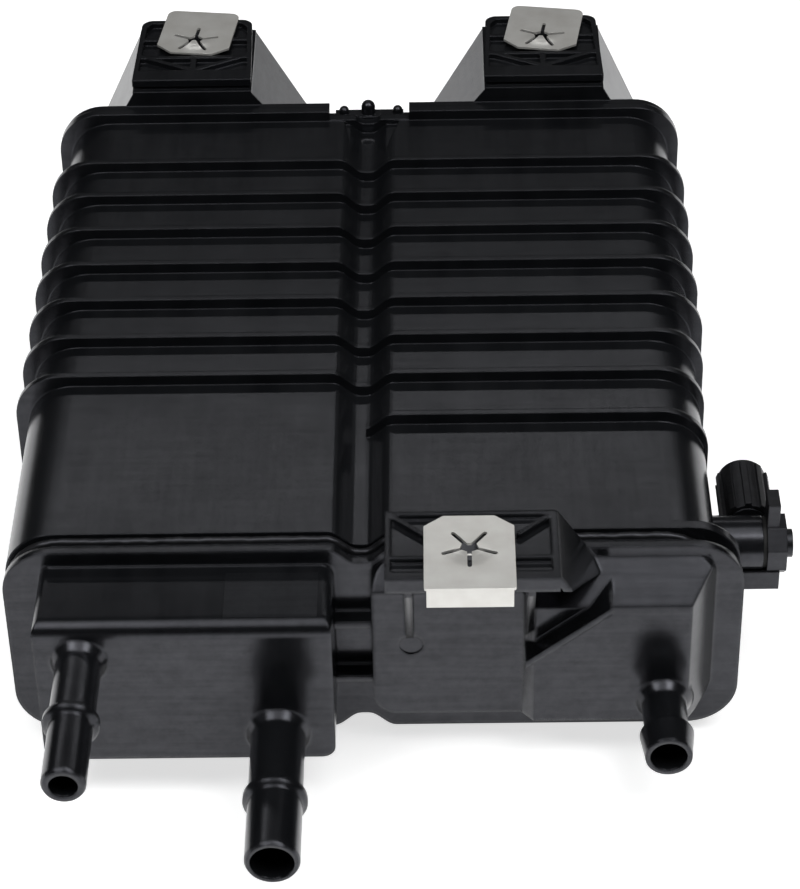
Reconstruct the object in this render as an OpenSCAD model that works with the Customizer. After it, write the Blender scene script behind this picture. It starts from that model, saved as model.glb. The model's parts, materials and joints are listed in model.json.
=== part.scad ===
// Charcoal canister for a fuel tank's vapour, two carbon chambers side by side.
// Millimetres. X runs across, Y to the rear, Z up. The origin is midway between the two
// rear studs, on the upper face of their pads. The modules are drawn from the middle of the
// housing's front weld end, level with the underside of its walls, and then placed.

/* [Housing] */
// Length of the housing between its two weld ends
housing_length = 225; // [215:1:260]
// Width over the plain walls
housing_width = 208; // [200:1:220]
// Height over the plain walls
housing_height = 69; // [67:1:76]
// Wall thickness
wall = 2.8; // [2.2:0.1:3.2]
// Outer corner radius
corner = 15; // [12:1:18]
// How far a rib stands off the wall
rib_height = 3.7; // [2.5:0.1:4]
// Rib thickness
rib_thickness = 2.2; // [1.6:0.1:3]
// Distance from rib to rib
rib_pitch = 20; // [17:0.5:21]
// Front face of the foremost full rib
rib_start = 71; // [62:1:76]
// Half the width of the groove between the two chambers
groove_half = 5.2; // [4.4:0.1:6]
// Depth of the groove between the two chambers
groove_depth = 5; // [4:0.5:7]

/* [Ports] */
// Outside diameter of the tank port's end
tank_port = 15.8; // [14.5:0.1:16.5]
// Outside diameter of the purge port's end
purge_port = 12.6; // [11.5:0.1:13.5]
// Outside diameter of the vent port's tube
vent_port = 13.6; // [12.4:0.1:14.5]
// How far the tank port stands out from the port box
port_reach = 52; // [45:1:60]
// How far the vent port stands out from the vent box
vent_reach = 24; // [20:1:32]

/* [Brackets] */
// Height of all three stud pads
pad_height = 82; // [80:1:90]
// Thickness of a stud pad
pad_thickness = 5.2; // [4.4:0.1:6]
// Distance between the two rear studs
rear_stud_spacing = 122; // [118:1:126]
// Rear studs measured from the rear weld end
rear_stud_back = 29.5; // [28:0.5:33]
// Hole for a stud in its pad
stud_hole = 9; // [8:0.5:11]

/* [Clips] */
// Width of a stud clip
clip_width = 25.6; // [22:0.2:28]
// Sheet thickness of a stud clip
clip_sheet = 0.8; // [0.6:0.1:1.2]
// Bore that the tongues of a clip leave for the stud
clip_bore = 6.2; // [5.6:0.1:6.6]
// Turn of the rear left clip on its pad, in degrees
left_clip_turn = -7; // [-9:1:9]
// Turn of the rear right clip on its pad, in degrees
right_clip_turn = -9; // [-9:1:9]

/* [Fill] */
// Thickness of a foam pad
foam = 6; // [4:0.5:8]
// Thickness of the grids and pressure plates
plate = 3; // [2.5:0.5:4]
// Room left for the springs behind the pressure plates
spring_room = 27; // [24:1:32]
// Clearance between the fill and the walls
fill_clearance = 0.3; // [0.2:0.1:0.6]

/* [Side branch] */
// Height of the side branch
branch_height = 45; // [40:1:48]
// Distance of the side branch from the front weld end
branch_back = 21; // [19:0.5:23]
// Outside diameter of the side branch
branch_size = 17; // [15:0.5:18]
// Length of the ribbed cap on the branch fitting
cap_length = 22; // [16:1:26]

/* [Hidden] */
$fn = 64;
half_width = housing_width / 2;
rib_count = 7;
partition = 3;
flange_reach = 110.9 - 104;
flange_right = half_width + flange_reach;
groove_gap = 5.4;
rim = 2.7;
neck_inset = 1.6;
face_y = -(groove_gap + rim);
box_left = -92.8;
box_right = -8;
box_bottom = 12;
box_top = housing_height - 5.3;
box_front = -34;
box_round = 4.5;
box_draft = 0.7;
vent_front = -20;
middle_front = -16;
vent_right = 95;
tank_at = [-24.4, 21.7];
purge_at = [-79.9, 50.3];
vent_at = [88, 19.9];
bead_back = 25.7;
front_pad_x = [7.5, 56.3];
front_pad_y = [-36.5, -7];
front_stud = [31.2, -24.2];
rear_face = housing_length;
rear_plate = 3.4;
rear_back = rear_face + rear_plate;
tower_depth = 41;
tower_half = 20.6;
inner_flare = 0.76;
outer_flare = 0.55;
tower_lean = 20;
tower_foot = 38;
stud_y = rear_face + rear_stud_back;
partition_end = housing_length - spring_room;
short_rib = rib_start - 21;
right_ledge = rib_start - 27;
left_grid = 6;
right_grid = right_ledge;
bed_end = partition_end - plate - foam - 1;
groove_slope = 4.1;
notch_left = -13.4;
notch_right = 14.2;
branch_end = half_width + 14.8;
branch_bore = branch_size - 5;
elbow_x = half_width + 11.6;
seal = 1.2;
fitting_plate = 5.8;
nose_size = 12;
cap_wall = 0.9;
cap_end = 2.5;
cap_start = branch_back + branch_size / 2 + 0.5;
nose_end = cap_start + cap_length - cap_end - 1;

// Lays a flat X-Z outline along Y between two stations
module along_y(y0, y1) {
    translate([0, y1, 0]) rotate([90, 0, 0]) linear_extrude(y1 - y0) children();
}

// Lays a flat Y-Z outline along X between two stations
module along_x(x0, x1) {
    translate([x0, 0, 0]) rotate([90, 0, 90]) linear_extrude(x1 - x0) children();
}

// A rectangle with round corners, given by its edges
module round_box(x0, x1, z0, z1, r) {
    translate([x0 + r, z0]) square([x1 - x0 - 2 * r, z1 - z0]);
    translate([x0, z0 + r]) square([x1 - x0, z1 - z0 - 2 * r]);
    for (x = [x0 + r, x1 - r], z = [z0 + r, z1 - r]) translate([x, z]) circle(r);
}

// Points of the groove's side, a smooth wave from its floor to the panel, t running from 0 to 1
function groove_x(t) = groove_half + groove_slope * (2 * t - 1);
function groove_dip(t) = groove_depth * (1 + cos(180 * t)) / 2;

// One chamber's outline on the right of the middle, grown by e, its flank at x1
module chamber_outline(e, x1) {
    top = housing_height + e;
    step = 1 / 8;
    round_box(groove_half, x1, -e, top, corner);
    polygon(concat(
        [for (t = [0 : step : 1]) [groove_x(t), groove_dip(t) - e]],
        [[x1 - corner, -e], [x1 - corner, top]],
        [for (t = [0 : step : 1]) [groove_x(1 - t), top - groove_dip(1 - t)]]));
}

// Whole housing outline grown by e, with its own right flank
module body_outline(e, right_flank) {
    mirror([1, 0]) chamber_outline(e, half_width + e);
    chamber_outline(e, right_flank);
    translate([-groove_half - 8, groove_depth - e])
        square([2 * groove_half + 16, housing_height - 2 * groove_depth + 2 * e]);
}

// Hollow of the right chamber drawn in by c from its walls
module chamber_hollow(c) {
    inner = groove_half + wall + c;
    low = wall + c;
    web = groove_depth + wall + c;
    round_box(inner, half_width - low, low, housing_height - low, corner - low);
    round_box(inner, half_width - 2 * corner, low, housing_height - low, 3);
    translate([partition / 2 + c, web]) square([groove_half + wall + 6, housing_height - 2 * web]);
}

// The way across behind the partition, drawn in by c
module crossing_hollow(c) {
    for (side = [0, 1]) mirror([side, 0]) chamber_hollow(c);
    web = groove_depth + wall + c;
    translate([-6, web]) square([12, housing_height - 2 * web]);
}

// Puts its child on the right and, mirrored, on the left
module one_side(left) {
    mirror([left ? 1 : 0, 0, 0]) children();
}

// Shell with its ribs, partition and side branch, one moulding
module housing() {
    right_rib = [for (k = [0 : rib_count - 1]) k == 0 ? 1.2 : k == 1 ? 2.4 : rib_height];
    color("#2b2b2d") difference() {
        union() {
            along_y(0, housing_length) body_outline(0, half_width);
            for (k = [0 : rib_count - 1]) {
                y = rib_start + k * rib_pitch;
                along_y(y, y + rib_thickness) body_outline(rib_height, half_width + right_rib[k]);
            }
            along_y(short_rib, short_rib + rib_thickness) chamber_outline(rib_height, half_width + 0.8);
            along_y(housing_length - 3.4, housing_length) body_outline(rib_height, half_width + rib_height);
            along_y(0, 3.2) chamber_outline(0, flange_right);
            translate([half_width - wall, branch_back, branch_height])
                rotate([0, 90, 0]) cylinder(h = branch_end - half_width + wall, d = branch_size);
            on_elbow(branch_back) cylinder(h = cap_start - branch_back, d = nose_size / 2);
            on_elbow(cap_start - 0.2) cylinder(h = nose_end - cap_start, d = nose_size);
            translate([-0.4, housing_length - 7.8, housing_height - groove_depth - 8]) sphere(r = 8.6);
        }
        translate([notch_left, housing_length - 3.5, housing_height + 0.4])
            cube([notch_right - notch_left, 5, rib_height + 1]);
        translate([0, 0, housing_height - 1.5]) linear_extrude(rib_height + 3) polygon([
            [groove_half, housing_length - 24], [10.8, housing_length - 3.5],
            [-8.2, housing_length - 3.5], [-groove_half, housing_length - 24]]);
        along_y(-1, partition_end) chamber_hollow(0);
        along_y(-1, partition_end) mirror([1, 0]) chamber_hollow(0);
        along_y(partition_end - 0.01, housing_length + 1) crossing_hollow(0);
        translate([half_width - wall - 1, branch_back, branch_height])
            rotate([0, 90, 0]) cylinder(h = branch_end - half_width + wall + 2, d = branch_bore);
        on_elbow(branch_back) cylinder(h = nose_end, d = nose_size / 4);
    }
    color("#2b2b2d") along_y(right_ledge - 3, right_ledge) difference() {
        chamber_hollow(-0.2);
        chamber_hollow(3);
    }
}

// Flat outline of the front cover, reaching over the right flange
module cover_outline(e) {
    mirror([1, 0]) chamber_outline(-e, half_width - e);
    chamber_outline(-e, flange_right - e);
    translate([-groove_half - 8, groove_depth + e])
        square([2 * groove_half + 16, housing_height - 2 * groove_depth - 2 * e]);
}

// The box that carries the tank and purge ports, drawn in by c
module port_box(c) {
    intersection() {
        along_x(box_left + c, box_right - c) polygon(concat(
            [[face_y + 1 + c, box_bottom + c], [box_front + c, box_bottom + c]],
            [for (a = [0 : 15 : 90]) [box_front + c + box_round * (1 - cos(a)),
                box_top - c - box_draft - box_round * (1 - sin(a))]],
            [[face_y + 1 + c, box_top - c]]));
        along_y(box_front, face_y + 2 + c)
            round_box(box_left + c, box_right - c, box_bottom + c, box_top - c, 4);
    }
}

// The stepped, slope-sided vent box, drawn in by c
module vent_box(c) {
    top_back = housing_height - 3.6;
    back = face_y + 1 + c;
    right_foot = flange_right - 8 - c;
    intersection() {
        along_x(3, flange_right) polygon([
            [back, box_bottom + c], [vent_front + c, box_bottom + c],
            [vent_front + c, housing_height - 12.8 - c], [face_y + c, top_back - c], [back, top_back - c]]);
        translate([0, 0, box_bottom]) linear_extrude(housing_height) polygon([
            [3 + c, back], [3 + c, middle_front + c], [46.5 + c, middle_front + c], [50 + c, vent_front + c],
            [vent_right - c, vent_front + c], [right_foot, face_y + c], [right_foot, back]]);
        along_y(vent_front - 1, back + 1) round_box(3 + c, right_foot, box_bottom + c, top_back - c, 7);
    }
}

// A port of the quick-connector kind: root, bead and plain end, pointing to the front
module quick_port(at, reach, end_d, root_d, bead_d) {
    bead = reach - bead_back;
    translate([at[0], box_front + 1, at[1]]) rotate([90, 0, 0]) {
        cylinder(h = 3.5, d1 = root_d + 5, d2 = root_d);
        cylinder(h = bead + 1, d = root_d);
        translate([0, 0, bead]) cylinder(h = 1.2, d1 = root_d, d2 = bead_d);
        translate([0, 0, bead + 1.2]) cylinder(h = 1.8, d = bead_d);
        translate([0, 0, bead + 3]) cylinder(h = 1.2, d1 = bead_d, d2 = end_d);
        cylinder(h = reach, d = end_d);
        translate([0, 0, reach]) cylinder(h = 1, d1 = end_d, d2 = end_d - 1.2);
    }
}

// The vent port with its hose barb
module vent_tube() {
    neck = vent_port - 0.6;
    crest = vent_port + 2.3;
    translate([vent_at[0], vent_front + 1, vent_at[1]]) rotate([90, 0, 0]) {
        cylinder(h = 3.5, d1 = neck + 5, d2 = neck);
        cylinder(h = vent_reach - 8, d = neck);
        translate([0, 0, vent_reach - 10]) cylinder(h = 2, d1 = neck, d2 = crest);
        translate([0, 0, vent_reach - 8]) cylinder(h = 9, d1 = crest, d2 = vent_port);
    }
}

// A straight bore into a port from its tip
module port_bore(at, mouth, depth, d) {
    translate([at[0], mouth - 1, at[1]]) rotate([-90, 0, 0]) cylinder(h = depth + 1, d = d);
}

// Bracket that carries the front stud pad
module front_bracket() {
    low = pad_height - pad_thickness;
    foot = 43.5;
    wing = 62;
    brace_low = 41;
    brace_high = 61.5;
    front = front_pad_y[0];
    back = front_pad_y[1];
    left = front_pad_x[0];
    right = front_pad_x[1];
    root = housing_height - 8;
    difference() {
        translate([left, front, low]) cube([right - left, back - front, pad_thickness]);
        front_pocket(left + 1.6, right - 1.6, front + 3.4, back - 1.6);
        translate([front_stud[0], front_stud[1], low - 1]) cylinder(h = pad_thickness + 2, d = stud_hole);
    }
    along_x(left, right) polygon([
        [back - 2.5, low + 0.5], [back, low + 0.5], [back, root + 6], [face_y, root], [back - 2.5, root]]);
    for (x = [left + 5.4, right - 9]) along_x(x, x + 2.2) polygon([
        [front + 0.6, low + 0.5], [back - 1, low + 0.5], [back - 1, foot], [middle_front + 1, foot - 4],
        [middle_front - 1.5, foot], [front + 0.6, low - 2]]);
    intersection() {
        along_y(front, back) polygon([
            [right - 2.4, pad_height], [right, pad_height], [right + 13, wing], [right + 10.4, wing]]);
        along_x(left, flange_right) polygon([
            [back, pad_height], [front, pad_height], [front, low], [face_y - 3, wing], [back, wing]]);
    }
    along_y(vent_front - 6, face_y) polygon([
        [right - 9, brace_low], [right + 15.6, brace_high],
        [right + 15.6, brace_high - 2.8], [right - 9, brace_low - 2.8]]);
}

// Shallow pocket of the front pad, parted by a cross rib, two corner ribs and the stud's boss
module front_pocket(x0, x1, y0, y1) {
    floor_z = pad_height - 1.8;
    difference() {
        translate([x0, y0, floor_z]) cube([x1 - x0, y1 - y0, 4]);
        translate([x0 - 1, y0 + 5.4, floor_z - 1]) cube([x1 - x0 + 2, 1.3, 6]);
        translate([x0, y1, floor_z - 1]) rotate([0, 0, -42]) translate([0, -0.7, 0]) cube([13, 1.4, 6]);
        translate([x1, y1, floor_z - 1]) rotate([0, 0, 222]) translate([0, -0.7, 0]) cube([13, 1.4, 6]);
        translate([front_stud[0], front_stud[1], floor_z - 1]) cylinder(h = 6, d = stud_hole + 6);
    }
}

// Front cover with port box, vent box, ports and bracket, one moulding
module front_cover() {
    spigot = 2.5;
    color("#2a2a2c") difference() {
        union() {
            along_y(face_y, -groove_gap) cover_outline(0);
            along_y(-groove_gap - 0.5, 0) body_outline(-neck_inset, half_width - neck_inset);
            for (side = [0, 1]) along_y(-1, left_grid) mirror([side, 0]) difference() {
                chamber_hollow(fill_clearance);
                chamber_hollow(fill_clearance + spigot);
            }
            port_box(0);
            vent_box(0);
            quick_port(tank_at, port_reach, tank_port, tank_port - 0.2, tank_port + 2.8);
            quick_port(purge_at, port_reach - 2, purge_port, purge_port + 0.6, purge_port + 3.6);
            vent_tube();
            front_bracket();
            for (z = [24, 45]) translate([box_right - 1, face_y - 6, z - 1]) cube([12.5, 7, 2]);
        }
        for (side = [0, 1]) along_y(-groove_gap, left_grid) mirror([side, 0])
            chamber_hollow(fill_clearance + spigot);
        port_box(2.5);
        vent_box(2.5);
        along_y(face_y - 1, 0) round_box(box_left + 2.5, box_right - 2.5, box_bottom + 2.5, box_top - 2.5, 4);
        along_y(face_y - 1, 0) round_box(12, flange_right - 14, box_bottom + 2.5, housing_height - 9, 6);
        port_bore(tank_at, box_front - port_reach, port_reach + 3, tank_port - 3.2);
        port_bore(purge_at, box_front - port_reach + 2, port_reach + 1, purge_port - 4.4);
        port_bore(vent_at, vent_front - vent_reach, vent_reach + 3, vent_port - 2.8);
        translate([14.3, middle_front + 0.4, 39]) rotate([90, 0, 0]) cylinder(h = 2, d = 7);
    }
}

// Right rear stud bracket: a pad on a front wall and two flared cheeks, open to the rear and below
module tower() {
    low = pad_height - pad_thickness;
    flare_top = pad_height - 5;
    drop = flare_top - tower_foot;
    inner = -tower_half - inner_flare * drop;
    outer = tower_half + outer_flare * drop;
    deep = rear_plate + tower_depth;
    difference() {
        union() {
            intersection() {
                along_y(0, deep) polygon([
                    [-tower_half, low + 1], [tower_half, low + 1], [tower_half, flare_top],
                    [outer, tower_foot], [inner, tower_foot], [-tower_half, flare_top]]);
                along_x(inner, outer) polygon([
                    [rear_plate - 0.5, low + 1], [deep, low + 1], [deep, low],
                    [deep - tower_lean, tower_foot], [rear_plate - 0.5, tower_foot]]);
            }
            along_z(low, pad_height - 3.4) tower_plan(rear_plate + 1.2, deep, 0.6);
            along_z(pad_height - 2.6, pad_height) tower_plan(rear_plate + 0.4, deep, 0);
            along_z(low, pad_height) tower_plan(rear_plate + 2, deep, 1.2);
        }
        along_y(rear_plate + 2.6, deep + 1) polygon([
            [-tower_half + 1.5, low], [tower_half - 1.5, low], [tower_half - 1.5, flare_top - 1],
            [outer - 2.2, tower_foot - 1], [inner + 2.4, tower_foot - 1],
            [-tower_half + 1.5, flare_top - 1]]);
        tower_pocket(deep);
        translate([0, rear_stud_back, low - 1]) cylinder(h = pad_thickness + 2, d = stud_hole);
    }
}

// Stands a flat X-Y outline up between two heights
module along_z(z0, z1) {
    translate([0, 0, z0]) linear_extrude(z1 - z0) children();
}

// Plan of a rear pad between two stations, drawn in by c, its rear corners round
module tower_plan(y0, y1, c) {
    r = 4;
    rear_half = tower_half - 1 - c;
    polygon([[-tower_half + c, y0], [tower_half - c, y0], [rear_half, y1 - c - r], [-rear_half, y1 - c - r]]);
    translate([-rear_half + r, y1 - c - r - 1]) square([2 * rear_half - 2 * r, r + 1]);
    for (side = [-1, 1]) translate([side * (rear_half - r), y1 - c - r]) circle(r);
}

// Shallow pocket of a rear pad, parted by its ribs
module tower_pocket(deep) {
    floor_z = pad_height - 2;
    difference() {
        translate([0, 0, floor_z]) linear_extrude(4) polygon([
            [-tower_half + 1.7, rear_plate + 7], [tower_half - 1.7, rear_plate + 7],
            [tower_half - 2.8, deep - 5], [tower_half - 5, deep - 2],
            [-tower_half + 5, deep - 2], [-tower_half + 2.8, deep - 5]]);
        translate([-1, rear_plate, floor_z - 1]) cube([2, tower_depth, 6]);
        for (turn = [-62, 62]) translate([0, rear_plate + 7, floor_z - 1]) rotate([0, 0, turn])
            translate([-0.8, -2, 0]) cube([1.6, 24, 6]);
        translate([-tower_half, rear_plate + 15, floor_z - 1]) cube([2 * tower_half, 1.6, 6]);
        translate([-tower_half, rear_plate + 27, floor_z - 1]) cube([2 * tower_half, 1.6, 6]);
        translate([0, rear_stud_back, floor_z - 1]) cylinder(h = 6, d = stud_hole + 6);
    }
}

// Rear cover with its two stud brackets, one moulding
module rear_cover() {
    color("#2a2a2c") translate([0, rear_face, 0]) {
        difference() {
            along_y(0, rear_plate) body_outline(rib_height - 0.6, half_width + rib_height - 0.6);
            translate([notch_left, -1, housing_height - 1])
                cube([notch_right - notch_left, 6, rib_height + 2]);
        }
        along_y(-6, 0.5) difference() {
            crossing_hollow(fill_clearance);
            crossing_hollow(fill_clearance + 2.5);
        }
        for (left = [true, false]) one_side(left) translate([rear_stud_spacing / 2, 0, 0]) tower();
        translate([notch_left + 2, 0, housing_height - 8])
            cube([notch_right - notch_left - 4, rear_plate + 1.5, 7.4]);
        nub(-8.4, 3.4, 2);
        nub(0, 4.8, 4.2);
        nub(10.2, 3.4, 2);
    }
}

// Round-topped stub on the rear cover's edge, its top a given height above the housing
module nub(x, d, top) {
    translate([x, rear_plate - 0.4, housing_height - 4]) cylinder(h = top + 4 - d / 2, d = d);
    translate([x, rear_plate - 0.4, housing_height + top - d / 2]) sphere(d = d);
}

// Packed granules of one chamber
module carbon(left) {
    start = left ? left_grid + plate + foam : right_grid + plate + foam;
    color("#161616") one_side(left) along_y(start, bed_end) chamber_hollow(fill_clearance);
}

// Foam in front of the granules
module front_foam(left) {
    start = left ? left_grid + plate : right_grid + plate;
    color("#6d6a60") one_side(left) along_y(start, start + foam) chamber_hollow(fill_clearance);
}

// Foam behind the granules
module rear_foam(left) {
    color("#6d6a60") one_side(left) along_y(bed_end, bed_end + foam) chamber_hollow(fill_clearance);
}

// A plate with rows of gas holes
module gas_plate(start) {
    along_y(start, start + plate) difference() {
        chamber_hollow(fill_clearance);
        for (column = [0 : 7], row = [0 : 4])
            translate([half_width - 14 - column * 10.4, housing_height / 2 + (row - 2) * 11]) circle(d = 5);
    }
}

// Fixed grid that holds the front foam off the cover
module grid(left) {
    color("#3a3a3c") one_side(left) gas_plate(left ? left_grid : right_grid);
}

// Sprung plate that presses the bed together
module pressure_plate(left) {
    color("#3a3a3c") one_side(left) gas_plate(bed_end + foam);
}

// A round-wire coil spring standing on the X-Y plane
module coil(radius, wire, turns, length) {
    segments = 18;
    sides = 6;
    steps = segments * turns;
    points = [for (i = [0 : steps], j = [0 : sides - 1])
        let (a = 360 * i / segments, b = 360 * j / sides, r = radius + wire / 2 * cos(b))
        [r * cos(a), r * sin(a), wire / 2 + (length - wire) * i / steps + wire / 2 * sin(b)]];
    walls = [for (i = [0 : steps - 1], j = [0 : sides - 1], half = [0, 1])
        let (a = i * sides + j, b = i * sides + (j + 1) % sides, c = b + sides, d = a + sides)
        half == 0 ? [a, b, c] : [a, c, d]];
    near_end = [for (j = [1 : sides - 2]) [0, j + 1, j]];
    far_end = [for (j = [1 : sides - 2]) [steps * sides, steps * sides + j, steps * sides + j + 1]];
    polyhedron(points, concat(walls, near_end, far_end));
}

// One of the two springs behind a chamber's pressure plate
module spring(left, outer) {
    start = bed_end + foam + plate;
    x = outer ? half_width - 28 : 30;
    color("#9a9da0") one_side(left) translate([x, start, housing_height / 2]) rotate([-90, 0, 0])
        coil(11, 1.8, 5, rear_face - start);
}

// A U-shaped sheet clip: star-slotted upper leaf, fold and shorter lower leaf. Its bore is on the Z axis,
// its fold lies at negative Y by its reach, and its free edge at positive Y by its tail.
module stud_clip(reach, tail) {
    gap = pad_thickness + 0.3;
    half = clip_width / 2;
    difference() {
        linear_extrude(clip_sheet) polygon([
            [-half, -reach], [half, -reach], [half, tail - 4.5],
            [half - 5.5, tail], [-half + 5.5, tail], [-half, tail - 4.5]]);
        translate([0, 0, -1]) cylinder(h = 3, d = clip_bore);
        for (turn = [0, 72, 144, 216, 288]) rotate([0, 0, turn - 90])
            translate([0, -0.45, -1]) cube([8.6, 0.9, 3]);
    }
    translate([-half + 0.6, -reach, -gap - clip_sheet])
        cube([clip_width - 1.2, clip_sheet, gap + 2 * clip_sheet]);
    difference() {
        translate([-half + 0.6, -reach, -gap - clip_sheet]) cube([clip_width - 1.2, reach + 6, clip_sheet]);
        translate([0, 0, -gap - 2]) cylinder(h = 3, d = stud_hole + 1);
    }
}

// The three stud clips, the front one longer
module stud_clips() {
    rest = pad_height + 0.05;
    color("#c9c8c2") {
        translate([front_stud[0], front_stud[1], rest]) stud_clip(17.4, 14);
        translate([-rear_stud_spacing / 2, stud_y, rest]) rotate([0, 0, 180 + left_clip_turn])
            stud_clip(19.2, 9);
        translate([rear_stud_spacing / 2, stud_y, rest]) rotate([0, 0, 180 + right_clip_turn])
            stud_clip(19.2, 9);
    }
}

// Puts its child on the side branch's elbow axis, standing towards the rear
module on_elbow(y) {
    translate([elbow_x, y, branch_height]) rotate([-90, 0, 0]) children();
}

// Puts its child on the side branch's own axis, standing to the right
module on_branch(x) {
    translate([x, branch_back, branch_height]) rotate([0, 90, 0]) children();
}

// Rubber ring between the branch's end and its fitting
module branch_seal() {
    color("#1a1a1a") on_branch(branch_end) difference() {
        cylinder(h = seal, d = branch_size - 1);
        translate([0, 0, -1]) cylinder(h = seal + 2, d = branch_bore);
    }
}

// Octagonal plug that closes the branch's end, with its boss, upright tab and an arm under the branch
module branch_fitting() {
    plug = 9;
    across = branch_size / cos(22.5);
    color("#242426") on_branch(branch_end + seal) {
        rotate([0, 0, 22.5]) cylinder(h = fitting_plate, d = across, $fn = 8);
        translate([0, 0, -plug]) cylinder(h = plug + 1, d = branch_bore - 2 * fill_clearance - 4);
        translate([0, 0, fitting_plate]) cylinder(h = 2.2, d = branch_size / 2);
        translate([-branch_size / 2 - 8, -3, 0]) cube([9, 8, 3.6]);
        difference() {
            translate([4, -branch_size / 2 - 0.4, -plug]) cube([6.4, 8, plug + fitting_plate - 2]);
            translate([0, 0, -plug - 1]) cylinder(h = plug + 1, d = branch_size + 2 * fill_clearance);
        }
    }
}

// Ribbed cap on the branch's rear spigot
module branch_cap() {
    inside = nose_size + 2 * fill_clearance;
    outside = inside + 2 * cap_wall;
    grip = 0.9;
    color("#1e1e20") on_elbow(cap_start) difference() {
        union() {
            cylinder(h = cap_length, d = outside);
            for (turn = [0 : 36 : 324]) rotate([0, 0, turn + 90])
                translate([0, -1, 0]) cube([outside / 2 + grip, 2, cap_length - 1.5]);
        }
        translate([0, 0, -1]) cylinder(h = cap_length - cap_end + 1, d = inside);
    }
}

// Moves a piece from the drawing point to the origin
module placed() {
    translate([0, -stud_y, -pad_height]) children();
}

placed() housing();
placed() front_cover();
placed() rear_cover();
placed() carbon(true);  // carbon_left
placed() carbon(false);  // carbon_right
placed() front_foam(true);  // front_foam_left
placed() front_foam(false);  // front_foam_right
placed() rear_foam(true);  // rear_foam_left
placed() rear_foam(false);  // rear_foam_right
placed() grid(true);  // grid_left
placed() grid(false);  // grid_right
placed() pressure_plate(true);  // pressure_plate_left
placed() pressure_plate(false);  // pressure_plate_right
placed() spring(true, false);  // spring_left_inner
placed() spring(true, true);  // spring_left_outer
placed() spring(false, false);  // spring_right_inner
placed() spring(false, true);  // spring_right_outer
placed() stud_clips();
placed() branch_seal();
placed() branch_fitting();
placed() branch_cap();
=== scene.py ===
import json
import math

import bmesh
import bpy
from mathutils import Matrix, Vector


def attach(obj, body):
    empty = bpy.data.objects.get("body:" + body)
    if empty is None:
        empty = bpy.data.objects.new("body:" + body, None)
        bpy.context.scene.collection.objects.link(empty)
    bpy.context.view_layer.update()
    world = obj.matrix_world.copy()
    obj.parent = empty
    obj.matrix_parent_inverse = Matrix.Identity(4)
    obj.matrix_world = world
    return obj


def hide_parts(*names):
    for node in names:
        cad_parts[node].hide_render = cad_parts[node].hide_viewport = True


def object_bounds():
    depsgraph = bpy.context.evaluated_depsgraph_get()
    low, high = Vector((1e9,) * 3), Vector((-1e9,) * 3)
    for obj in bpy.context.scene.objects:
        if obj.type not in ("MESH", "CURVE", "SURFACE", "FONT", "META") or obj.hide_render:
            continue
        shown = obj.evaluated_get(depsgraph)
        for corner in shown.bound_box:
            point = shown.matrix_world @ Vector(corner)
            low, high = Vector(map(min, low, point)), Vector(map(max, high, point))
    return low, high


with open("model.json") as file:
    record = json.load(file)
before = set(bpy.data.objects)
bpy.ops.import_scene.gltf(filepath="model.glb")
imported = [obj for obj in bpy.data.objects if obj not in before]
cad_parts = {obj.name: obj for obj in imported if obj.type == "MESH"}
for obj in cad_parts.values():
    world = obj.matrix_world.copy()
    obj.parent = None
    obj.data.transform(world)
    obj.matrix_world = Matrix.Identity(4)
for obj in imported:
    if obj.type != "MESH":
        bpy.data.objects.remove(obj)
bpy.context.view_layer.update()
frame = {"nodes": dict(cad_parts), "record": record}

MM = 0.001

# Housing: the long two-chamber shell with its ribs, injection moulded in black polyamide.
# Its ribs, partition and side branch come out of one mould, so they share one finish. Every
# edge has the small radius that the mould was cut with, which catches a thin line of light.


def linear(hex_colour):
    """Turns an sRGB hex colour into the linear values that a shader socket takes."""
    channels = [int(hex_colour[i:i + 2], 16) / 255 for i in (1, 3, 5)]
    return [c / 12.92 if c <= 0.04045 else ((c + 0.055) / 1.055) ** 2.4 for c in channels] + [1.0]


def new_material(name):
    """A fresh node material and its Principled shader."""
    material = bpy.data.materials.new(name)
    material.use_nodes = True
    return material, material.node_tree.nodes["Principled BSDF"]


def add_node(material, kind, links=(), **settings):
    """Adds a shader node, sets its properties or named sockets, and links (output, input) pairs into it."""
    tree = material.node_tree
    node = tree.nodes.new(kind)
    properties = {name: value for name, value in settings.items() if hasattr(node, name)}
    for name, value in properties.items():
        setattr(node, name, value)
    for name, value in settings.items():
        if name not in properties:
            node.inputs[name.replace("_", " ")].default_value = value
    for output, name in links:
        tree.links.new(output, node.inputs[name])
    return node


def pattern(material, size, detail=3.0, roughness=0.5):
    """A cloud pattern on the object, its patches as large as the three sizes given in metres."""
    place = add_node(material, "ShaderNodeTexCoord")
    scaled = add_node(material, "ShaderNodeMapping", [(place.outputs["Object"], "Vector")])
    scaled.inputs["Scale"].default_value = [1 / length for length in size]
    cloud = add_node(material, "ShaderNodeTexNoise", [(scaled.outputs["Vector"], "Vector")],
                     Scale=1.0, Detail=detail, Roughness=roughness)
    return cloud.outputs["Fac"]


def spread(material, value, low, high, start=0.3, end=0.7):
    """Stretches a pattern's middle range over the values from low to high."""
    return add_node(material, "ShaderNodeMapRange", [(value, "Value")], From_Min=start, From_Max=end,
                    To_Min=low, To_Max=high).outputs["Result"]


def tint(material, value, dark, light):
    """Mixes two colours by a pattern."""
    mix = add_node(material, "ShaderNodeMix", [(value, "Factor")], data_type="RGBA")
    colours = [socket for socket in mix.inputs if socket.type == "RGBA"]
    colours[0].default_value = linear(dark)
    colours[1].default_value = linear(light)
    return [socket for socket in mix.outputs if socket.type == "RGBA"][0]


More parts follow.
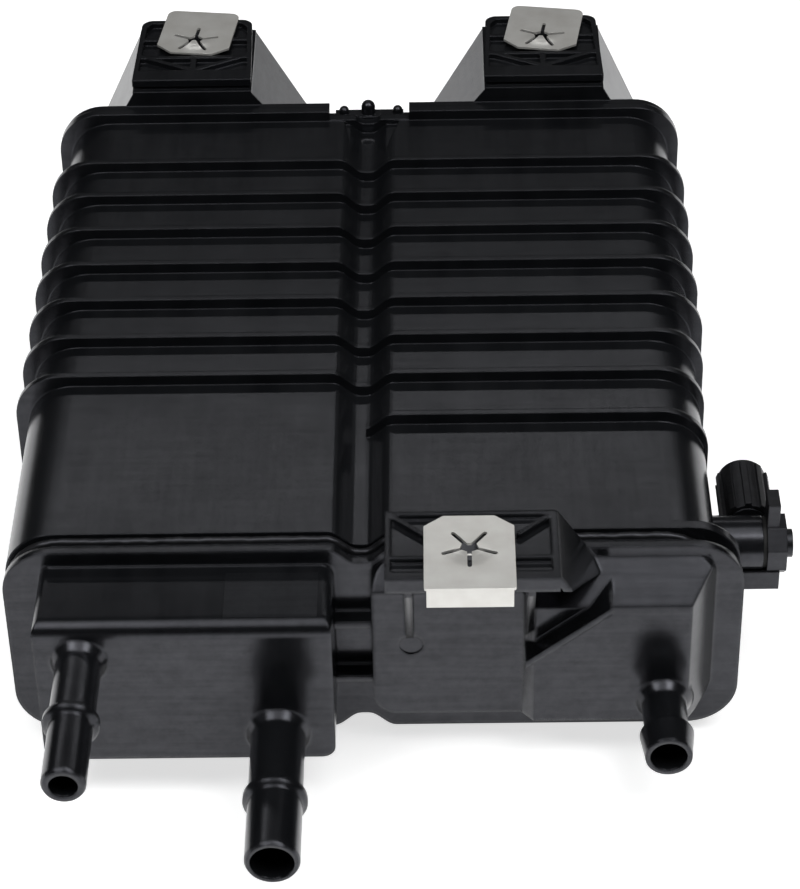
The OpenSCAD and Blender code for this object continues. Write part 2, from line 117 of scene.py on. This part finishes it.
def bumps(material, heights, edge):
    """Joins (pattern, height in metres) pairs into one normal, over edges rounded to a radius."""
    normal = add_node(material, "ShaderNodeBevel", samples=4, Radius=edge).outputs["Normal"]
    for value, height in heights:
        bump = add_node(material, "ShaderNodeBump", [(value, "Height"), (normal, "Normal")], Distance=height)
        normal = bump.outputs["Normal"]
    return normal


def moulded_plastic(name, dark, light, gloss, edge, wave):
    """Black moulded plastic: flow streaks, sunken panels, fine grain, and wipe marks that dull its gloss."""
    material, shader = new_material(name)
    links = material.node_tree.links
    flow = pattern(material, (9 * MM, 60 * MM, 9 * MM))
    dull = pattern(material, (26 * MM, 26 * MM, 26 * MM), detail=5.0, roughness=0.6)
    scuff = pattern(material, (1.6 * MM, 30 * MM, 12 * MM), detail=2.0)
    grain = pattern(material, (0.5 * MM, 0.5 * MM, 0.5 * MM), detail=2.0)
    panel = pattern(material, (38 * MM, 55 * MM, 38 * MM), detail=1.0)
    links.new(tint(material, spread(material, flow, 0.0, 1.0), dark, light), shader.inputs["Base Color"])
    worn = add_node(material, "ShaderNodeMath", [(spread(material, dull, -0.015, 0.02), 0),
                                                 (spread(material, scuff, -0.01, 0.015), 1)],
                    operation="ADD").outputs[0]
    rough = add_node(material, "ShaderNodeMath", [(worn, 0)], operation="ADD")
    rough.inputs[1].default_value = gloss
    links.new(rough.outputs[0], shader.inputs["Roughness"])
    wipes = pattern(material, (34 * MM, 1.4 * MM, 1.8 * MM), detail=4.0)
    blotch = pattern(material, (5 * MM, 5 * MM, 5 * MM), detail=6.0, roughness=0.75)
    sheen = add_node(material, "ShaderNodeMath", [(spread(material, blotch, 0.4, 0.58), 0),
                                                  (spread(material, wipes, -0.05, 0.06), 1)],
                     operation="ADD").outputs[0]
    links.new(sheen, shader.inputs["Specular IOR Level"])
    normal = bumps(material, [(panel, wave), (grain, 0.006 * MM)], edge)
    links.new(normal, shader.inputs["Normal"])
    shader.inputs["IOR"].default_value = 1.53
    shader.inputs["Specular Tint"].default_value = linear("#f1f3ff")
    return material


def dress(material, *nodes):
    """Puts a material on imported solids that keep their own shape."""
    for node in nodes:
        mesh = frame["nodes"][node].data
        mesh.materials.clear()
        mesh.materials.append(material)


# Moulded polyamide gives a deep black with a soft, slightly streaky gloss.
polyamide = moulded_plastic("moulded_black_polyamide", "#0f1012", "#18191b", 0.22, 0.7 * MM, 0.12 * MM)
dress(polyamide, "housing")

# Front cover: a second moulding with the port box, the vent box, the three tubes and the front
# stud bracket. It is welded to the housing's front end with a hot plate. On the port box lies a
# shallow bare panel, duller than the face round it.


def inside(material, low, high):
    """One within a box on the object, given by two corners in metres, and nought outside it."""
    place = add_node(material, "ShaderNodeTexCoord").outputs["Object"]
    sides = add_node(material, "ShaderNodeSeparateXYZ", [(place, "Vector")]).outputs
    held = None
    for side, first, last in zip(sides, low, high):
        off = add_node(material, "ShaderNodeMath", [(side, 0)], operation="SUBTRACT")
        off.inputs[1].default_value = (first + last) / 2
        size = add_node(material, "ShaderNodeMath", [(off.outputs[0], 0)], operation="ABSOLUTE")
        near = add_node(material, "ShaderNodeMath", [(size.outputs[0], 0)], operation="LESS_THAN")
        near.inputs[1].default_value = (last - first) / 2
        if held:
            near = add_node(material, "ShaderNodeMath", [(held, 0), (near.outputs[0], 1)],
                            operation="MULTIPLY")
        held = near.outputs[0]
    return held


# The cover's polyamide is the same, with softer mould edges.
cover_polyamide = moulded_plastic("moulded_black_cover", "#0f1012", "#18191b", 0.18, 1.7 * MM, 0.1 * MM)
panel_low = (-38.6 * MM, -284.5 * MM, -20 * MM)
panel_high = (-12 * MM, -266 * MM, -16 * MM)
cover_shader = cover_polyamide.node_tree.nodes["Principled BSDF"]
plain = cover_shader.inputs["Roughness"].links[0].from_socket
bare_panel = add_node(cover_polyamide, "ShaderNodeMath", operation="MULTIPLY_ADD", links=[
    (inside(cover_polyamide, panel_low, panel_high), 0), (plain, 2)])
panel_dulling = 0.12
bare_panel.inputs[1].default_value = panel_dulling
cover_polyamide.node_tree.links.new(bare_panel.outputs[0], cover_shader.inputs["Roughness"])
dress(cover_polyamide, "front_cover")

# Weld flash: the uneven bead of melted plastic that the hot plate squeezed out between the housing
# and its front cover. It runs round both chambers in the weld groove. Lengths are in millimetres.
WELD_STATION = -256.2
WELD_HALF = 102.4
WELD_LOW = -80.4
WELD_HIGH = -14.6
WELD_CORNER = 15.0
GROOVE_START = 1.1
GROOVE_SLOPE = 8.2
GROOVE_HALF_DIP = 2.5


def weld_path(y):
    """A closed line of edges along the weld, at a station of the canister."""
    wave = [(GROOVE_START + GROOVE_SLOPE * t, GROOVE_HALF_DIP * (1 + math.cos(math.pi * t)))
            for t in (step / 8 for step in range(9))]
    side = WELD_HALF - WELD_CORNER
    top = WELD_HIGH - WELD_CORNER
    quarter = [(side + WELD_CORNER * math.sin(turn), top + WELD_CORNER * math.cos(turn))
               for turn in (step * math.pi / 24 for step in range(13))]
    upper = [(x, WELD_HIGH - dip) for x, dip in wave] + quarter
    right = upper + [(x, WELD_LOW + WELD_HIGH - z) for x, z in reversed(upper)]
    line = right + [(-x, z) for x, z in reversed(right)]
    mesh = bpy.data.meshes.new("weld_path")
    mesh.from_pydata([Vector((x, y, z)) * MM for x, z in line],
                     [(i, (i + 1) % len(line)) for i in range(len(line))], [])
    piece = bpy.data.objects.new("weld_flash", mesh)
    bpy.context.scene.collection.objects.link(piece)
    return piece


def bead_tree():
    """Geometry nodes that run a lumpy round bead along a line, with its sizes as inputs."""
    tree = bpy.data.node_groups.new("weld_bead", "GeometryNodeTree")
    face = tree.interface
    face.new_socket(name="Geometry", in_out="INPUT", socket_type="NodeSocketGeometry")
    for name in ("Bead Radius", "Lump Height", "Lump Size", "Step", "Seed"):
        face.new_socket(name=name, in_out="INPUT", socket_type="NodeSocketFloat")
    face.new_socket(name="Finish", in_out="INPUT", socket_type="NodeSocketMaterial")
    face.new_socket(name="Geometry", in_out="OUTPUT", socket_type="NodeSocketGeometry")

    def step(kind, links=(), **settings):
        made = tree.nodes.new(kind)
        for name, value in settings.items():
            setattr(made, name, value)
        for output, name in links:
            tree.links.new(output, made.inputs[name])
        return made

    given = step("NodeGroupInput").outputs
    line = step("GeometryNodeMeshToCurve", [(given["Geometry"], "Mesh")])
    even = step("GeometryNodeResampleCurve", [(line.outputs["Curve"], "Curve"), (given["Step"], "Length")],
                mode="LENGTH")
    ring = step("GeometryNodeCurvePrimitiveCircle", [(given["Bead Radius"], "Radius")])
    ring.inputs["Resolution"].default_value = 10
    bead = step("GeometryNodeCurveToMesh", [(even.outputs["Curve"], "Curve"),
                                            (ring.outputs["Curve"], "Profile Curve")])
    finer = step("ShaderNodeMath", [(given["Lump Size"], 1)], operation="DIVIDE")
    finer.inputs[0].default_value = 1.0
    noise = step("ShaderNodeTexNoise", [(finer.outputs[0], "Scale"), (given["Seed"], "W")],
                 noise_dimensions="4D")
    swing = step("ShaderNodeMath", [(noise.outputs[0], 0)], operation="SUBTRACT")
    swing.inputs[1].default_value = 0.5
    height = step("ShaderNodeMath", [(swing.outputs[0], 0), (given["Lump Height"], 1)], operation="MULTIPLY")
    outwards = step("GeometryNodeInputNormal")
    offset = step("ShaderNodeVectorMath", [(outwards.outputs["Normal"], 0), (height.outputs[0], "Scale")],
                  operation="SCALE")
    lumpy = step("GeometryNodeSetPosition", [(bead.outputs["Mesh"], "Geometry"),
                                             (offset.outputs[0], "Offset")])
    smooth = step("GeometryNodeSetShadeSmooth", [(lumpy.outputs["Geometry"], "Geometry")])
    real = step("GeometryNodeRealizeInstances", [(smooth.outputs["Geometry"], "Geometry")])
    dressed = step("GeometryNodeSetMaterial", [(real.outputs["Geometry"], "Geometry"),
                                               (given["Finish"], "Material")])
    step("NodeGroupOutput", [(dressed.outputs["Geometry"], "Geometry")])
    return tree


def grown(piece, tree, **sizes):
    """Runs a node tree on a piece with its inputs set by name, and keeps the result as a plain mesh."""
    modifier = piece.modifiers.new(tree.name, "NODES")
    modifier.node_group = tree
    for item in tree.interface.items_tree:
        key = item.name.replace(" ", "_")
        if item.in_out == "INPUT" and key in sizes:
            modifier[item.identifier] = sizes[key]
    seen = piece.evaluated_get(bpy.context.evaluated_depsgraph_get())
    mesh = bpy.data.meshes.new_from_object(seen)
    piece.modifiers.remove(modifier)
    piece.data = mesh
    return piece


# Melted and set again, the bead is duller and rougher than the moulded faces.
flash_plastic = moulded_plastic("melted_polyamide", "#0e0e0f", "#1c1c1d", 0.4, 0.3 * MM, 0.02 * MM)
weld_flash = grown(weld_path(WELD_STATION), bead_tree(), Bead_Radius=1.25 * MM, Lump_Height=1.1 * MM,
                   Lump_Size=2.6 * MM, Step=0.7 * MM, Seed=4.0, Finish=flash_plastic)
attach(weld_flash, "root")

# Rear cover: the plate that closes the housing behind the springs, with the two hollow stud
# brackets moulded on. It is welded on like the front cover.
dress(polyamide, "rear_cover")

# Filling: carbon pellets between foam pads, held by plates with gas holes and pressed together
# by coil springs. None of it shows from outside, but each piece has its own finish.


def granular(name, dark, light, size, rough, height, edge):
    """A dull material of packed cells of one size, with painted shade darkening the gaps between them."""
    material, shader = new_material(name)
    links = material.node_tree.links
    place = add_node(material, "ShaderNodeTexCoord")
    cells = add_node(material, "ShaderNodeTexVoronoi", [(place.outputs["Object"], "Vector")], Scale=1 / size)
    depth = spread(material, cells.outputs["Distance"], 1.0, 0.0, 0.1, 0.7)
    # The colour darkens from each cell's middle to its edge: painted shade in the gaps between the cells. The
    # same pattern also raises the cells as a bump.
    links.new(tint(material, depth, dark, light), shader.inputs["Base Color"])
    links.new(bumps(material, [(depth, height)], edge), shader.inputs["Normal"])
    shader.inputs["Roughness"].default_value = rough
    return material


# Carbon pellets look like coarse soot; foam has open cells; plates are plain moulded plastic.
carbon = granular("carbon_pellets", "#040404", "#151515", 2.4 * MM, 0.85, 0.8 * MM, 0.3 * MM)
foam = granular("open_cell_foam", "#2b2a25", "#77735f", 1.1 * MM, 0.95, 0.4 * MM, 0.5 * MM)
plate_plastic = moulded_plastic("moulded_plate_plastic", "#1b1b1c", "#262627", 0.45, 0.3 * MM, 0.05 * MM)
dress(carbon, "carbon_left", "carbon_right")
dress(foam, "front_foam_left", "front_foam_right", "rear_foam_left", "rear_foam_right")
dress(plate_plastic, "grid_left", "grid_right", "pressure_plate_left", "pressure_plate_right")


def drawn_metal(name, dark, light, gloss, bright, size, edge):
    """Steel, bright as bare metal at one, with marks of three given sizes and faint smudges."""
    material, shader = new_material(name)
    links = material.node_tree.links
    marks = pattern(material, size)
    smudge = pattern(material, (9 * MM, 9 * MM, 9 * MM))
    links.new(tint(material, spread(material, smudge, 0.0, 1.0), dark, light), shader.inputs["Base Color"])
    rough = add_node(material, "ShaderNodeMath", [(spread(material, marks, -0.008, 0.01), 0)],
                     operation="ADD")
    rough.inputs[1].default_value = gloss
    links.new(rough.outputs[0], shader.inputs["Roughness"])
    links.new(bumps(material, [(marks, 0.0003 * MM)], edge), shader.inputs["Normal"])
    shader.inputs["Metallic"].default_value = bright
    return material


# Spring wire is drawn steel, smooth and greyish.
wire = drawn_metal("drawn_spring_wire", "#8b8d8f", "#a9abad", 0.32, 1.0, (3 * MM, 3 * MM, 3 * MM), 0.1 * MM)
dress(wire, "spring_left_inner", "spring_left_outer", "spring_right_inner", "spring_right_outer")

# Stud clips: three spring-steel sheets, stamped with a star of slits and folded over the pads.
# The tongues on the canister's front side rise a little towards the stud. Lengths are in millimetres.
CLIP_HALF = 12.8
CLIP_SHEET = 0.8
CLIP_GAP = 5.5
CLIP_REST = 0.05
CUT_LENGTH = 4.5
CUT_WIDTH = 5.5
FOLD_SET_BACK = 0.25
LOWER_TAIL = 6
LOWER_BORE_RADIUS = 5
TONGUE_REACH = 8.3
TONGUE_RISE = 1.8
TONGUE_TIP = 2.6
LONG_TONGUE_TIP = 1.9
SLIT_HALF = 0.65
SLIT_STATIONS = (4.0, 5.4, 6.8)
MERGE_DISTANCE = 0.03
FLAT_DEGREES = 0.3
SHARP_DEGREES = 35


def arc(centre, radius, first, last, steps):
    """Points on an arc between two angles in degrees."""
    turns = [math.radians(first + (last - first) * step / steps) for step in range(steps + 1)]
    return [(centre[0] + radius * math.cos(turn), centre[1] + radius * math.sin(turn)) for turn in turns]


def upper_leaf(reach, tail, corner):
    """Outline of a clip's upper leaf: round corners at its fold, cut corners at its free edge."""
    low = corner - reach
    side = CLIP_HALF - corner
    right = [(CLIP_HALF, tail - CUT_LENGTH), (CLIP_HALF - CUT_WIDTH, tail)]
    left = [(-x, y) for x, y in reversed(right)]
    return arc((-side, low), corner, 180, 270, 5) + arc((side, low), corner, 270, 360, 5) + right + left


def lower_leaf(reach, corner):
    """Outline of a clip's shorter lower leaf."""
    side = CLIP_HALF - corner
    near = FOLD_SET_BACK - reach
    return [(-side, near), (side, near), (side, LOWER_TAIL), (-side, LOWER_TAIL)]


def star_hole(bore, long_bore, width, reach):
    """Outline of the stud's bore with five round-ended slits. The tongue at the free edge is longer."""
    points = []
    for turn, before, after in ((-90, bore, bore), (-18, bore, bore), (54, bore, long_bore),
                                (126, long_bore, bore), (198, bore, bore)):
        edge = [(length, -width) for length in (before, *SLIT_STATIONS)]
        edge += arc((reach - width, 0), width, -90, 90, 4)
        edge += [(length, width) for length in (*reversed(SLIT_STATIONS), after)]
        points += [tuple(Matrix.Rotation(math.radians(turn), 2) @ Vector(point)) for point in edge]
    return points


def bend_tongues(sheet, front):
    """Cuts bend lines round the bore, and raises the tongues on the front side towards their tips."""
    for ring in (TONGUE_REACH, *reversed(SLIT_STATIONS)):
        for step in range(12):
            outwards = Vector((math.cos(step * math.pi / 6), math.sin(step * math.pi / 6), 0))
            everything = sheet.verts[:] + sheet.edges[:] + sheet.faces[:]
            bmesh.ops.bisect_plane(sheet, geom=everything, plane_co=ring * outwards, plane_no=outwards)
    for vert in sheet.verts:
        inwards = max(0, 1 - vert.co.xy.length / TONGUE_REACH)
        vert.co.z += TONGUE_RISE * inwards ** 2 * max(0, front.dot(vert.co.normalized()))
    bmesh.ops.remove_doubles(sheet, verts=sheet.verts[:], dist=MERGE_DISTANCE)
    bmesh.ops.dissolve_limit(sheet, angle_limit=math.radians(FLAT_DEGREES), verts=sheet.verts[:],
                             edges=sheet.edges[:])
    bmesh.ops.triangulate(sheet, faces=sheet.faces[:])


def stamped_sheet(outline, hole, height, front=None):
    """A sheet with a hole, its underside at a height, with bent tongues where a front side is given."""
    sheet = bmesh.new()
    edges = []
    for loop in (outline, hole):
        ring = [sheet.verts.new((x, y, 0)) for x, y in loop]
        edges += [sheet.edges.new((ring[i - 1], ring[i])) for i in range(len(ring))]
    bmesh.ops.triangle_fill(sheet, use_beauty=True, edges=edges, normal=(0, 0, 1))
    if front:
        bend_tongues(sheet, front)
    raised = bmesh.ops.extrude_face_region(sheet, geom=sheet.faces[:])["geom"]
    for vert in raised:
        if isinstance(vert, bmesh.types.BMVert):
            vert.co.z += CLIP_SHEET
    upright, level = 0.5, 0.9999
    for face in sheet.faces:
        face.normal_update()
        face.smooth = upright < abs(face.normal.z) < level
    bmesh.ops.translate(sheet, verts=sheet.verts[:], vec=(0, 0, height))
    return sheet


def fold(reach, corner):
    """The upright strip that joins a clip's two leaves."""
    strip = bmesh.new()
    size = Vector((2 * (CLIP_HALF - corner), CLIP_SHEET, CLIP_GAP))
    middle = Vector((0, FOLD_SET_BACK + CLIP_SHEET / 2 - reach, -CLIP_GAP / 2))
    bmesh.ops.create_cube(strip, size=1, matrix=Matrix.Translation(middle) @ Matrix.Diagonal(size).to_4x4())
    return strip


def stud_clips():
    """All three clips in one mesh, the front one longer and the rear ones turned on their pads."""
    mounts = {mount["name"]: mount for mount in frame["record"]["mounts"]}
    half = mounts["rear_studs"]["dims"]["spacing_x_mm"] / 2
    front_x, front_y, _ = (length / MM for length in mounts["front_stud"]["pos_m"])
    whole = bmesh.new()
    for x, y, turn, reach, tail, corner in ((front_x, front_y, 0, 17.4, 14, 0.7), (-half, 0, 173, 19.2, 9, 3),
                                            (half, 0, 171, 19.2, 9, 3)):
        place = Matrix.Scale(MM, 4) @ Matrix.Translation((x, y, CLIP_REST))
        turned = Matrix.Rotation(math.radians(turn), 4, "Z")
        place = place @ turned
        front = turned.transposed() @ Vector((0, -1, 0))
        star = star_hole(TONGUE_TIP, LONG_TONGUE_TIP, SLIT_HALF, TONGUE_REACH)
        pieces = [stamped_sheet(upper_leaf(reach, tail, corner), star, 0, front),
                  stamped_sheet(lower_leaf(reach, corner), arc((0, 0), LOWER_BORE_RADIUS, 0, 345, 23),
                                -CLIP_GAP - CLIP_SHEET),
                  fold(reach, corner)]
        for piece in pieces:
            bmesh.ops.transform(piece, matrix=place, verts=piece.verts[:])
            bmesh.ops.recalc_face_normals(piece, faces=piece.faces[:])
            part = bpy.data.meshes.new("clip_part")
            piece.to_mesh(part)
            piece.free()
            whole.from_mesh(part)
            bpy.data.meshes.remove(part)
    mesh = bpy.data.meshes.new("stud_clip_sheets")
    whole.to_mesh(mesh)
    whole.free()
    mesh.set_sharp_from_angle(angle=math.radians(SHARP_DEGREES))
    clips = bpy.data.objects.new("stud_clip_sheets", mesh)
    bpy.context.scene.collection.objects.link(clips)
    return clips


def hand_over(piece, material, slot, *nodes):
    """Gives a finished piece its material and its place on the canister."""
    piece.data.materials.clear()
    piece.data.materials.append(material)
    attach(piece, "root")
    if nodes:
        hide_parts(*nodes)


# Zinc-plated sheet is pale and satin, with fine rolling marks.
zinc = drawn_metal("zinc_plated_sheet", "#dfddd8", "#efeeea", 0.24, 0.55, (0.4 * MM, 9 * MM, 0.4 * MM),
                   0.12 * MM)
hand_over(stud_clips(), zinc, "clip_steel", "stud_clips")

# Side branch: a rubber ring and an octagonal plug on the branch's end, and a ribbed push-on cap
# on its rear spigot. Plug and cap are moulded in a duller plastic than the shell.
fitting_plastic = moulded_plastic("moulded_dull_plastic", "#0b0b0c", "#121213", 0.36, 0.5 * MM, 0.03 * MM)
rubber = granular("moulded_rubber", "#0a0a0a", "#111111", 0.6 * MM, 0.7, 0.01 * MM, 0.2 * MM)
dress(fitting_plastic, "branch_fitting", "branch_cap")
dress(rubber, "branch_seal")

# Studio: a white table, two softboxes in front, a wide one above, and a long, narrow strip behind
# that the level panels mirror.
table_gap = 0.1 * MM
low_corner = Vector(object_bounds()[0])
table_height = low_corner.z - table_gap


def flat_sheet(name, width, depth, place):
    """A level rectangle, centred at a place."""
    half_x = width / 2
    half_y = depth / 2
    corners = [(-half_x, -half_y, 0), (half_x, -half_y, 0), (half_x, half_y, 0), (-half_x, half_y, 0)]
    mesh = bpy.data.meshes.new(name)
    mesh.from_pydata([Vector(corner) + Vector(place) for corner in corners], [], [(0, 1, 2, 3)])
    sheet = bpy.data.objects.new(name, mesh)
    bpy.context.scene.collection.objects.link(sheet)
    return sheet


def softbox(name, width, depth, place, target, radiance, tilt=0):
    """An area lamp that faces a target, tilted in its own plane, with the brightness that it shows."""
    lamp = bpy.data.lights.new(name, "AREA")
    lamp.shape = "RECTANGLE"
    lamp.size = width
    lamp.size_y = depth
    lamp.energy = radiance * math.pi * width * depth
    holder = bpy.data.objects.new(name, lamp)
    holder.location = place
    facing = (Vector(target) - Vector(place)).to_track_quat("-Z", "Y").to_matrix()
    holder.rotation_euler = (facing @ Matrix.Rotation(math.radians(tilt), 3, "Z")).to_euler()
    bpy.context.scene.collection.objects.link(holder)
    return holder


table_white, shader = new_material("white_table")
shader.inputs["Base Color"].default_value = linear("#f4f4f4")
shader.inputs["Roughness"].default_value = 0.9
shader.inputs["Specular IOR Level"].default_value = 0.0
shader.inputs["Emission Color"].default_value = linear("#ffffff")
ray = add_node(table_white, "ShaderNodeLightPath").outputs
seen = add_node(table_white, "ShaderNodeMath", [(ray["Is Camera Ray"], 0), (ray["Is Glossy Ray"], 1)],
                operation="MAXIMUM")
seen = add_node(table_white, "ShaderNodeMath", [(seen.outputs[0], 0), (ray["Is Transmission Ray"], 1)],
                operation="MAXIMUM")
lift = add_node(table_white, "ShaderNodeMath", [(seen.outputs[0], 0)], operation="MULTIPLY")
table_glow = 0.68
lift.inputs[1].default_value = table_glow
table_white.node_tree.links.new(lift.outputs[0], shader.inputs["Emission Strength"])
table = flat_sheet("table", 8, 8, (0, 0, table_height))
table.data.materials.append(table_white)

middle = (0, -0.14, -0.04)
softbox("left_softbox", 0.6, 0.6, (-0.6, -0.6, 1.1), middle, 4.3)
softbox("right_softbox", 0.6, 0.6, (0.6, -0.6, 1.1), middle, 5.0)
softbox("wide_softbox", 1.0, 1.0, (0.05, -0.4, 1.15), middle, 1.45)
softbox("rear_strip", 2.6, 0.09, (0, 1.2, 1.13), middle, 2.5, tilt=5)

world = bpy.data.worlds.new("studio")
world.use_nodes = True
world.node_tree.nodes["Background"].inputs["Color"].default_value = linear("#262626")
bpy.context.scene.world = world

# Camera: a long lens at the photograph's height and turn.
image_height = 889
focal_pixels = 3004.2
camera_place = Vector((22.638, -919.713, 543.36)) * MM
look_down = math.radians(38.259)
yaw = Matrix.Rotation(math.radians(0.909), 3, "Z")
roll = math.radians(-1.254)
level_right = yaw @ Vector((1, 0, 0))
forward = yaw @ Vector((0, math.cos(look_down), -math.sin(look_down)))
level_up = yaw @ Vector((0, math.sin(look_down), math.cos(look_down)))
right = math.cos(roll) * level_right + math.sin(roll) * level_up
up = math.cos(roll) * level_up - math.sin(roll) * level_right
lens = bpy.data.cameras.new("camera")
lens.sensor_fit = "VERTICAL"
lens.sensor_height = 24
lens.lens = focal_pixels * lens.sensor_height / image_height
lens.clip_end = 20
camera = bpy.data.objects.new("camera", lens)
camera.matrix_world = Matrix.Translation(camera_place) @ Matrix((right, up, -forward)).transposed().to_4x4()
bpy.context.scene.collection.objects.link(camera)
bpy.context.scene.camera = camera
bpy.context.scene.view_settings.view_transform = "Standard"
